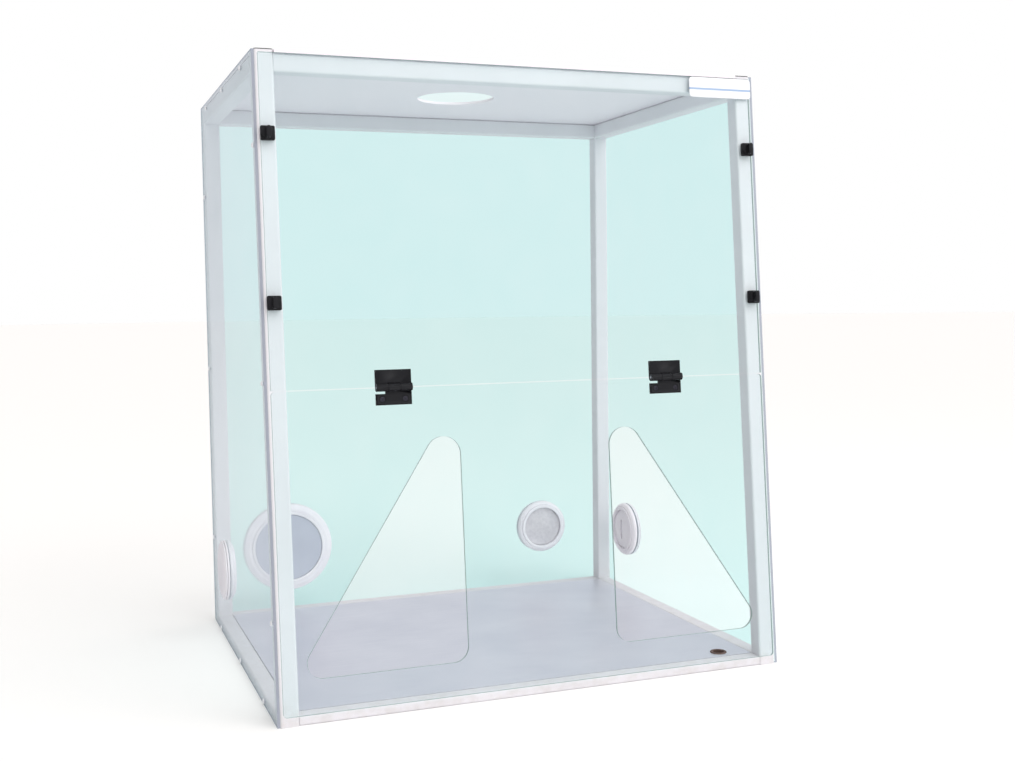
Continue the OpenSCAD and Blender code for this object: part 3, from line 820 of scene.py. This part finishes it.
@dataclass
class Latch:
    """A quarter-turn latch: square base, round foot and grooved oval grip.

    Attributes:
        plane: The leaning front.
        base_w: Side of the base.
        base_h: Thickness of the base.
        gap: Running gap between the base and the knob.
        foot_r: Radius of the knob's foot.
        foot_h: Thickness of the knob's foot.
        grip_w: Width of the grip.
        grip_l: Length of the grip.
        grip_h: Height of the grip.
        groove_r: Radius of the grip's grooves.
        groove_step: Distance between the grooves.
        stud_r: Radius of the stud.
        reach: How far the stud goes behind the panel's face.
        wing: Length, width and thickness of the cross wing on the stud's end.
    """

    plane: FrontPlane
    base_w: float = 19 * MM
    base_h: float = 5 * MM
    gap: float = 0.5 * MM
    foot_r: float = 8.5 * MM
    foot_h: float = 2 * MM
    grip_w: float = 6.5 * MM
    grip_l: float = 16 * MM
    grip_h: float = 8 * MM
    groove_r: float = 0.55 * MM
    groove_step: float = 2.4 * MM
    stud_r: float = 2.5 * MM
    reach: float = 9 * MM
    wing: tuple[float, float, float] = (10 * MM, 3 * MM, 2.5 * MM)

    def base(self, name: str) -> bpy.types.Object:
        """Models the base, with a round recess under the knob."""
        half = self.base_w / 2
        piece = box_piece(name, (-half, -half, 0), (half, half, self.base_h))
        round_upright_edges(piece, 2 * MM)
        floor = self.base_h - 0.6 * MM
        recess = rod_piece(
            "recess", self.foot_r - 1 * MM, (0, 0, floor), (0, 0, self.base_h + 4 * MM), 64
        )
        combine(piece, recess, "DIFFERENCE")
        round_edges(piece, 0.5 * MM)
        smooth(piece)
        return piece

    def knob(self, name: str) -> bpy.types.Object:
        """Models the knob, with grooves along both long sides and the stud behind."""
        low = self.base_h + self.gap
        foot = lathe_piece(
            name,
            rounded_profile([
                (0, low, 0), (self.foot_r, low, 0.3 * MM),
                (self.foot_r, low + self.foot_h, 0.8 * MM), (0, low + self.foot_h, 0),
            ]),
            64,
        )
        half_w, half_l, top = self.grip_w / 2, self.grip_l / 2, low + self.foot_h + self.grip_h
        grip = box_piece("grip", (-half_w, -half_l, low + 0.5 * MM), (half_w, half_l, top))
        round_upright_edges(grip, half_w * 0.92, 8)
        round_edges(grip, 0.9 * MM)
        for side in (-1, 1):
            for i in range(5):
                at = (side * half_w, (i - 2) * self.groove_step)
                start, end = low + self.foot_h + 0.8 * MM, top + 1 * MM
                groove = rod_piece("groove", self.groove_r, (*at, start), (*at, end), 16)
                combine(grip, groove, "DIFFERENCE")
        combine(foot, grip, "UNION")
        stud = rod_piece("stud", self.stud_r, (0, 0, -self.reach), (0, 0, low + 0.5 * MM))
        wing_l, wing_w, wing_t = self.wing
        wing = box_piece(
            "wing", (-wing_l / 2, -wing_w / 2, -self.reach),
            (wing_l / 2, wing_w / 2, wing_t - self.reach),
        )
        for part in (stud, wing):
            combine(foot, part, "UNION")
        smooth(foot)
        return foot

    def build(self) -> None:
        """Puts one latch at each knob joint."""
        first_base, first_knob = self.base("latch_base"), self.knob("latch_knob")
        for side in ("left", "right"):
            for row in ("top", "mid"):
                key = f"{side}_{row}"
                seat = self.plane.seat(joint(f"knob_{key}_turn")["pos_m"])
                base = place(copy_piece(first_base, f"latch_base_{key}_moulded"), seat)
                knob = place(copy_piece(first_knob, f"latch_knob_{key}_moulded"), seat)
                dress(base, BLACK_NYLON, "cabinet", [f"latch_base_{key}"])
                dress(knob, BLACK_NYLON, f"knob_{key}", [f"latch_knob_{key}"])
        for spare in (first_base, first_knob):
            bpy.data.objects.remove(spare)


@dataclass
class Hinge:
    """A butt hinge in black nylon: two leaves, a pin and four screws."""

    plane: FrontPlane
    width: float = 50 * MM
    reach: float = 24 * MM
    leaf_t: float = 4 * MM
    knuckle_r: float = 5.5 * MM
    pin_r: float = 1.75 * MM
    pin_out: float = 6 * MM
    gap: float = 0.5 * MM
    door_gap: float = 0.3 * MM
    panel_t: float = 4 * MM
    screw_x: float = 16 * MM
    screw_y: float = 16 * MM
    notch_h: float = 2.2 * MM
    notch_end: float = 3 * MM
    well_r: float = 4.1 * MM
    well_depth: float = 1.7 * MM
    bore_r: float = 2.2 * MM
    shank_r: float = 2 * MM
    head_r: float = 3.7 * MM
    head_h: float = 1.5 * MM
    socket_r: float = 1.7 * MM
    low_length: float = 11 * MM
    high_length: float = 6.4 * MM

    def knuckle(self, start: float, end: float) -> bpy.types.Object:
        """Models one knuckle from one place on the pin to another."""
        return rod_piece("knuckle", self.knuckle_r, (start, 0, 0), (end, 0, 0), 64)

    def leaf(self, name: str, upper: bool) -> bpy.types.Object:
        """Models one leaf with its knuckles, pin hole and edges.

        Args:
            name: Name of the piece.
            upper: True for the leaf above the pin.

        Returns:
            The leaf, about the pin at the origin.
        """
        half, third = self.width / 2, self.width / 6
        face = -self.pin_out + self.leaf_t
        back = -self.pin_out + (0 if upper else self.door_gap)
        low, high = (0, self.reach) if upper else (-self.reach, 0)
        piece = box_piece(name, (-half, low, back), (half, high, face))
        clear = self.pin_out + self.gap
        edge = third + (self.gap if upper else -self.gap / 2)
        spans = [(-edge, edge)] if upper else [(-half - MM, -edge), (edge, half + MM)]
        for start, end in spans:
            swing = rod_piece("swing", clear, (start, 0, 0), (end, 0, 0), 64)
            combine(piece, swing, "DIFFERENCE")
        side = third + self.gap / 2
        middle = third - self.gap / 2
        knuckles = [(-half, -side), (side, half)] if upper else [(-middle, middle)]
        for start, end in knuckles:
            combine(piece, self.knuckle(start, end), "UNION")
        hole = rod_piece("hole", self.pin_r + 0.05 * MM, (-half - MM, 0, 0), (half + MM, 0, 0))
        combine(piece, hole, "DIFFERENCE")
        if not upper:
            notch = box_piece(
                "notch", (-half - MM, -clear - self.notch_h, back - MM),
                (-third - self.notch_end, -self.pin_out + 2 * MM, 2 * MM),
            )
            combine(piece, notch, "DIFFERENCE")
            for x in (-self.screw_x, self.screw_x):
                at = (x, -self.screw_y)
                floor = face - self.well_depth
                well = rod_piece("well", self.well_r, (*at, floor), (*at, MM), 48)
                combine(piece, well, "DIFFERENCE")
                bore = rod_piece("bore", self.bore_r, (*at, back - MM), (*at, MM), 32)
                combine(piece, bore, "DIFFERENCE")
        round_edges(piece, 0.5 * MM, 2)
        smooth(piece)
        return piece

    def screw(self, name: str, at: Vector, length: float) -> bpy.types.Object:
        """Models a socket screw whose head lies just under the leaf's face.

        Args:
            name: Name of the piece.
            at: Middle of the head's top.
            length: Length under the head.

        Returns:
            The screw.
        """
        head = lathe_piece(
            name,
            rounded_profile([
                (0, -length, 0), (self.shank_r, -length, 0), (self.shank_r, -self.head_h, 0),
                (self.head_r, -self.head_h, 0), (self.head_r, 0, 0.4 * MM), (0, 0, 0),
            ], 3),
            32,
        )
        socket = rod_piece("socket", self.socket_r, (0, 0, -1.1 * MM), (0, 0, MM), 6)
        combine(head, socket, "DIFFERENCE")
        smooth(head)
        select_only(head)
        head.location = at
        bpy.ops.object.transform_apply(location=True, rotation=True, scale=True)
        return head

    def build(self) -> None:
        """Puts both hinges on the seam."""
        pin_at = Vector(joint("door_flip")["pos_m"])
        face = -self.pin_out + self.leaf_t
        behind: list[bpy.types.Object] = []
        front: list[bpy.types.Object] = []
        for side in ("left", "right"):
            low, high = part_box(f"hinge_{side}_pin")
            seat = self.plane.seat(((low.x + high.x) / 2, pin_at.y, pin_at.z))
            parts = {
                "upper_leaf": (self.leaf("leaf", True), "cabinet"),
                "lower_leaf": (self.leaf("leaf", False), "door"),
            }
            for part, (piece, body) in parts.items():
                node = f"hinge_{side}_{part}"
                piece.name = piece.data.name = f"{node}_moulded"
                dress(place(piece, seat), BLACK_NYLON, body, [node])
            pin = rod_piece("pin", self.pin_r, (-self.width / 2, 0, 0), (self.width / 2, 0, 0))
            round_edges(pin, 0.3 * MM, 2)
            smooth(pin)
            pin.name = pin.data.name = f"hinge_{side}_pin_ground"
            dress(place(pin, seat), ZINC_STEEL, "cabinet", [f"hinge_{side}_pin"])
            for x in (-self.screw_x, self.screw_x):
                low_at = Vector((x, -self.screw_y, face - 0.2 * MM))
                front.append(place(self.screw("screw", low_at, self.low_length), seat))
                high_at = (x, self.screw_y, face - self.leaf_t - self.panel_t - 1.8 * MM)
                high_screw = self.screw("screw", Vector((0, 0, 0)), self.high_length)
                flip = Matrix.Rotation(math.pi, 4, "X")
                high_screw.matrix_world = Matrix.Translation(high_at) @ flip
                select_only(high_screw)
                bpy.ops.object.transform_apply(location=True, rotation=True, scale=True)
                behind.append(place(high_screw, seat))
        lower = join_pieces("hinge_socket_screws_lower", front)
        dress(lower, BLACK_OXIDE, "door", ["hinge_screws_lower"])
        upper = join_pieces("hinge_socket_screws_upper", behind)
        dress(upper, BLACK_OXIDE, "cabinet", ["hinge_screws_upper"])


class Inside(Enum):
    """Shape of the end of a port cap's plug, as seen from inside the cabinet."""

    FLAT = "flat"
    LENS = "lens"
    SLOTTED = "slotted"


@dataclass
class Port:
    """A wall port: outside flange with a neck, inside ring nut and push-in cap."""

    key: str
    flange_r: float
    bore_r: float
    inside: Inside = Inside.FLAT
    cap_finish: Finish = PORT_PLASTIC
    wall_t: float = 4 * MM
    neck_t: float = 5 * MM
    flange_t: float = 3 * MM
    nut_t: float = 8 * MM
    neck_end: float = 2 * MM
    seat_gap: float = 0.5 * MM
    cap_rim: float = 2 * MM
    crown: float = 4 * MM

    def seat(self) -> Matrix:
        """Returns local axes with Z out of the wall and the wall's face at zero."""
        out = Vector(joint(f"cap_{self.key}_pull")["axis"])
        low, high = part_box(f"port_{self.key}_flange")
        middle = (low + high) / 2
        reach = self.wall_t + self.nut_t + self.neck_end
        middle += out * ((reach - self.flange_t) / 2)
        return seat_at(middle, out, Vector((0, 0, 1)))

    def flange(self) -> bpy.types.Object:
        """Models the flange and its neck."""
        end = -self.wall_t - self.nut_t - self.neck_end
        neck_r = self.bore_r + self.neck_t
        return lathe_piece(
            f"port_{self.key}_flange_moulded",
            rounded_profile([
                (self.bore_r, end, 1.2 * MM), (neck_r, end, 1.2 * MM), (neck_r, 0, 0),
                (self.flange_r, 0, 0), (self.flange_r, self.flange_t, 1.2 * MM),
                (self.bore_r, self.flange_t, 0.6 * MM),
            ]),
        )

    def nut(self) -> bpy.types.Object:
        """Models the ring nut: a sloping face that ends in a rounded outer rim."""
        inner, face = self.bore_r + self.neck_t + 0.05 * MM, -self.wall_t - self.nut_t
        back, rim = -self.wall_t, self.flange_r - inner
        return lathe_piece(
            f"port_{self.key}_nut_moulded",
            rounded_profile([
                (inner, back, 0), (inner, face, 0.6 * MM), (inner + 0.35 * rim, face, 1.5 * MM),
                (self.flange_r - 1 * MM, face + 3 * MM, 1.2 * MM),
                (self.flange_r, back - 2.5 * MM, 1.2 * MM), (self.flange_r, back, 0),
            ]),
        )

    def cap(self) -> bpy.types.Object:
        """Models the push-in cap: a low dome outside, and a plug that ends by the nut's face."""
        seat, end = self.flange_t + self.seat_gap, -self.wall_t - self.nut_t
        rim, plug = self.flange_r - 1 * MM, self.bore_r - 0.3 * MM
        top = seat + self.cap_rim + self.crown
        inside = {
            Inside.FLAT: [(0, end, 0), (plug - 3 * MM, end, 0), (plug, end, 0.8 * MM)],
            Inside.LENS: [
                (0, end + 0.2 * MM, 0), (plug * 0.5, end + 1.4 * MM, 25 * MM),
                (plug - 3 * MM, end + 3.5 * MM, 1 * MM), (plug, end + 3 * MM, 1 * MM),
            ],
            Inside.SLOTTED: [
                (0, end - 1.6 * MM, 0), (plug * 0.6, end - 1 * MM, 20 * MM),
                (plug - 2 * MM, end + 1.5 * MM, 3 * MM), (plug, end + 3 * MM, 0.5 * MM),
            ],
        }[self.inside]
        piece = lathe_piece(
            f"port_{self.key}_cap_moulded",
            rounded_profile([
                *inside, (plug, seat, 0), (rim, seat, 0.6 * MM),
                (rim, seat + self.cap_rim, 1.0 * MM), (rim - 9 * MM, top - 0.6 * MM, 8 * MM),
                (rim - 24 * MM, top, 8 * MM), (0, top, 0),
            ]),
        )
        if self.inside is Inside.SLOTTED:
            half_w, half_l, deep = 3 * MM, 18 * MM, 5 * MM
            slot = box_piece("slot", (-half_w, -half_l, end - deep), (half_w, half_l, end + deep))
            round_upright_edges(slot, 2.8 * MM)
            combine(piece, slot, "DIFFERENCE")
            smooth(piece)
        return piece

    def build(self) -> None:
        """Puts the port's three pieces in its wall."""
        seat = self.seat()
        for part, piece, finish, body in (
            ("flange", self.flange(), PORT_PLASTIC, "cabinet"),
            ("nut", self.nut(), PORT_PLASTIC, "cabinet"),
            ("cap", self.cap(), self.cap_finish, f"cap_{self.key}"),
        ):
            dress(place(piece, seat), finish, body, [f"port_{self.key}_{part}"])


@dataclass
class PostCaps:
    """Black push-in caps on the four posts."""

    tube: float = 25.4 * MM
    plate_t: float = 1.2 * MM
    corner: float = 4 * MM
    plug_l: float = 12 * MM
    wall: float = 2.2 * MM

    def cap(self, left: float, front: float, top: float) -> bpy.types.Object:
        """Models one cap on a post.

        Args:
            left: The post's left side.
            front: The post's front face at its top.
            top: Height of the post's top.

        Returns:
            The cap.
        """
        plate = box_piece(
            "cap", (left, front, top), (left + self.tube, front + self.tube, top + self.plate_t)
        )
        round_upright_edges(plate, self.corner)
        plug = box_piece(
            "plug",
            (left + self.wall, front + self.wall, top - self.plug_l),
            (left + self.tube - self.wall, front + self.tube - self.wall, top + self.plate_t / 2),
        )
        combine(plate, plug, "UNION")
        round_edges(plate, 0.4 * MM)
        smooth(plate)
        return plate

    def build(self) -> None:
        """Puts a cap on every post."""
        made = []
        for side in ("left", "right"):
            for row in ("front", "back"):
                low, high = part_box(f"post_{row}_{side}")
                made.append(self.cap(low.x, high.y - self.tube, high.z))
        caps = join_pieces("post_caps_moulded", made)
        dress(caps, BLACK_NYLON, "cabinet", ["post_caps"])


@dataclass
class LabelPlate:
    """The blank plate at the front's upper right."""

    plane: FrontPlane
    width: float = 104 * MM
    height: float = 30 * MM
    thickness: float = 1.5 * MM

    def build(self) -> None:
        """Models the plate and puts it on the front."""
        low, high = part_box("label_plate")
        piece = box_piece(
            "label_plate_gloss",
            (-self.width / 2, -self.height / 2, -self.thickness / 2),
            (self.width / 2, self.height / 2, self.thickness / 2),
        )
        round_upright_edges(piece, 5 * MM)
        round_edges(piece, 0.4 * MM)
        smooth(piece)
        place(piece, self.plane.seat((low + high) / 2))
        dress(piece, LABEL_PLATE, "cabinet", ["label_plate"])


@dataclass
class FloorGrommet:
    """The rubber lining of the floor's hole."""

    hole_r: float = 11 * MM
    sheet_t: float = 1.5 * MM

    def build(self) -> None:
        """Models the grommet and seats it in the floor."""
        low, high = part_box("floor_grommet")
        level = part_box("floor_pan")[1].z
        r, under = self.hole_r, -self.sheet_t - 2 * MM
        piece = lathe_piece(
            "floor_grommet_rubber",
            rounded_profile([
                (r - 2.5 * MM, under, 0.5 * MM), (r + 1.5 * MM, under, 0.6 * MM),
                (r + 1.8 * MM, -self.sheet_t - 0.1 * MM, 0.3 * MM),
                (r - 0.1 * MM, -self.sheet_t - 0.1 * MM, 0), (r - 0.1 * MM, 0.1 * MM, 0),
                (r + 2 * MM, 0.1 * MM, 0.3 * MM), (r + 1 * MM, 1.5 * MM, 0.5 * MM),
                (r - 2.5 * MM, 1.4 * MM, 0.6 * MM),
            ]),
            64,
        )
        middle = (low + high) / 2
        place(piece, Matrix.Translation((middle.x, middle.y, level)))
        dress(piece, BROWN_RUBBER, "cabinet", ["floor_grommet"])


# ---------------------------------------------------------------- studio


@dataclass
class Studio:
    """A pale floor, a soft world brighter from above and the right, one softbox and the camera.

    Attributes:
        camera_at: Place of the camera.
        turned_right_deg: Camera's heading, from straight back to the right.
        tipped_down_deg: How far the camera looks down.
        rolled_deg: Camera's roll.
        lens_mm: Focal length.
        sensor_mm: Width of the sensor.
        fill_colour: Colour of the world's light.
        fill_level: Strength of the world's light from the sides.
        least_fill: Least strength of it from any side.
        fill_lean: How much its strength grows to the right, the back and the top.
        shine: Colour that a shiny surface mirrors where nothing stands.
        sheet_tint: Share of red, green and blue that one clear sheet leaves of the backdrop.
        softbox_size: Diameter of the softbox.
        softbox_watts: Power of the softbox.
        softbox_at: Place of the softbox.
    """

    camera_at: tuple[float, float, float] = (-0.65113, -1.90525, 0.55452)
    turned_right_deg: float = 20.569
    tipped_down_deg: float = 3.675
    rolled_deg: float = -0.761
    lens_mm: float = 44.107
    sensor_mm: float = 36.0
    fill_colour: str = "#FFFCFA"
    fill_level: float = 0.74
    least_fill: float = 0.1
    fill_lean: tuple[float, float, float] = (0.5, -0.42, 0.4)
    shine: str = "#D8DAE2"
    sheet_tint: tuple[float, float, float] = (0.85, 0.945, 0.945)
    softbox_size: float = 2.2
    softbox_watts: float = 18.0
    softbox_at: tuple[float, float, float] = (1.0, -2.0, 2.5)

    def camera(self) -> None:
        """Adds the camera."""
        data = bpy.data.cameras.new("camera")
        data.lens, data.sensor_width = self.lens_mm, self.sensor_mm
        eye = bpy.data.objects.new("camera", data)
        bpy.context.scene.collection.objects.link(eye)
        heading = Matrix.Rotation(-math.radians(self.turned_right_deg), 4, "Z")
        tip = Matrix.Rotation(math.radians(90 - self.tipped_down_deg), 4, "X")
        roll = Matrix.Rotation(math.radians(self.rolled_deg), 4, "Z")
        eye.matrix_world = Matrix.Translation(self.camera_at) @ heading @ tip @ roll
        bpy.context.scene.camera = eye

    def seen_through(self, tree: bpy.types.NodeTree) -> bpy.types.NodeSocket:
        """Makes the backdrop's colour: white, and a step more minty behind each clear sheet.

        Args:
            tree: The tree to build in.

        Returns:
            The colour, which is a plain pale grey in reflections.
        """
        path = add_node(tree, "ShaderNodeLightPath")
        sheets = ramp(tree, path.outputs["Transmission Depth"], 0.0, 6.0, 0.0, 3.0)
        mixed = add_node(tree, "ShaderNodeCombineColor")
        for number, share in enumerate(self.sheet_tint):
            power = add_node(tree, "ShaderNodeMath", {0: share, 1: sheets}, operation="POWER")
            tree.links.new(power.outputs[0], mixed.inputs[number])
        mirrored = ramp(tree, path.outputs["Glossy Depth"], 0.0, 1.0, 0.0, 1.0)
        return blend_colours(tree, mirrored, mixed.outputs[0], linear(self.shine))

    def floor(self) -> None:
        """Adds the floor that the cabinet stands on."""
        deselect_everything()
        bpy.ops.mesh.primitive_circle_add(vertices=96, radius=40, fill_type="NGON")
        ground = bpy.context.object
        ground.name = "studio_floor"
        paper = bpy.data.materials.new("pale_studio_paper")
        paper.use_nodes = True
        tree = paper.node_tree
        tree.nodes.clear()
        # The floor takes the backdrop's colour: minty behind the clear sheets, and a painted pale
        # grey reflection where shiny surfaces mirror it
        colour = add_node(tree, "ShaderNodeMix", {0: 1.0}, data_type="RGBA", blend_type="MULTIPLY")
        tree.links.new(self.seen_through(tree), colour.inputs[6])
        colour.inputs[7].default_value = linear("#FFFFFF")
        matt = add_node(tree, "ShaderNodeBsdfDiffuse", {"Color": colour.outputs[2]})
        add_node(tree, "ShaderNodeOutputMaterial", {"Surface": matt.outputs[0]})
        ground.data.materials.append(paper)

    def world(self) -> None:
        """Lights the room from the front, and shows a plain backdrop where nothing stands."""
        world = bpy.data.worlds.new("studio")
        bpy.context.scene.world = world
        world.use_nodes = True
        tree = world.node_tree
        tree.nodes.clear()

        def maths(operation: str, a: object, b: object) -> bpy.types.NodeSocket:
            """Returns the result of one sum."""
            return add_node(tree, "ShaderNodeMath", {0: a, 1: b}, operation=operation).outputs[0]

        way = add_node(tree, "ShaderNodeTexCoord").outputs["Generated"]
        lean = add_node(
            tree, "ShaderNodeVectorMath", {0: way, 1: self.fill_lean}, operation="DOT_PRODUCT"
        ).outputs["Value"]
        level = maths("ADD", lean, self.fill_level)
        kept = maths("MAXIMUM", level, self.least_fill)
        fill = add_node(
            tree, "ShaderNodeBackground", {"Color": linear(self.fill_colour), "Strength": kept}
        ).outputs[0]
        plain = add_node(
            tree, "ShaderNodeBackground", {"Color": self.seen_through(tree), "Strength": 1.0}
        ).outputs[0]
        path = add_node(tree, "ShaderNodeLightPath").outputs
        either = maths("MAXIMUM", path["Is Camera Ray"], path["Is Transmission Ray"])
        shown = maths("MAXIMUM", either, path["Is Glossy Ray"])
        first = maths("LESS_THAN", path["Diffuse Depth"], 0.5)
        bare = maths("MULTIPLY", shown, first)
        mix = add_node(tree, "ShaderNodeMixShader", {0: bare, 1: fill, 2: plain})
        add_node(tree, "ShaderNodeOutputWorld", {"Surface": mix.outputs[0]})

    def softbox(self) -> None:
        """Adds one soft light above, to the front and right."""
        data = bpy.data.lights.new("softbox", "AREA")
        data.shape, data.size, data.energy = "DISK", self.softbox_size, self.softbox_watts
        light = bpy.data.objects.new("softbox", data)
        bpy.context.scene.collection.objects.link(light)
        light.location = self.softbox_at
        aim = Vector((0, 0, 0.45)) - light.location
        light.rotation_euler = aim.to_track_quat("-Z", "Y").to_euler()

    def build(self) -> None:
        """Sets up the whole studio."""
        self.camera()
        self.floor()
        self.world()
        self.softbox()
        bpy.context.scene.view_settings.view_transform = "Standard"


def main() -> None:
    """Builds every sub-assembly, then the studio."""
    logging.basicConfig(level=logging.INFO, format="%(name)s: %(message)s")
    plane = FrontPlane.from_frame()
    CarriedNodes(plane).build()
    Latch(plane).build()
    Hinge(plane).build()
    Port("large", 77.5 * MM, 58.5 * MM, cap_finish=CAP_PLASTIC).build()
    Port("small", 48.5 * MM, 36.5 * MM, Inside.LENS, LENS_PLASTIC).build()
    Port("left", 48.5 * MM, 36.5 * MM).build()
    Port("right", 48.5 * MM, 36.5 * MM, Inside.SLOTTED).build()
    PostCaps().build()
    LabelPlate(plane).build()
    FloorGrommet().build()
    Studio().build()


if __name__ == "__main__":
    main()
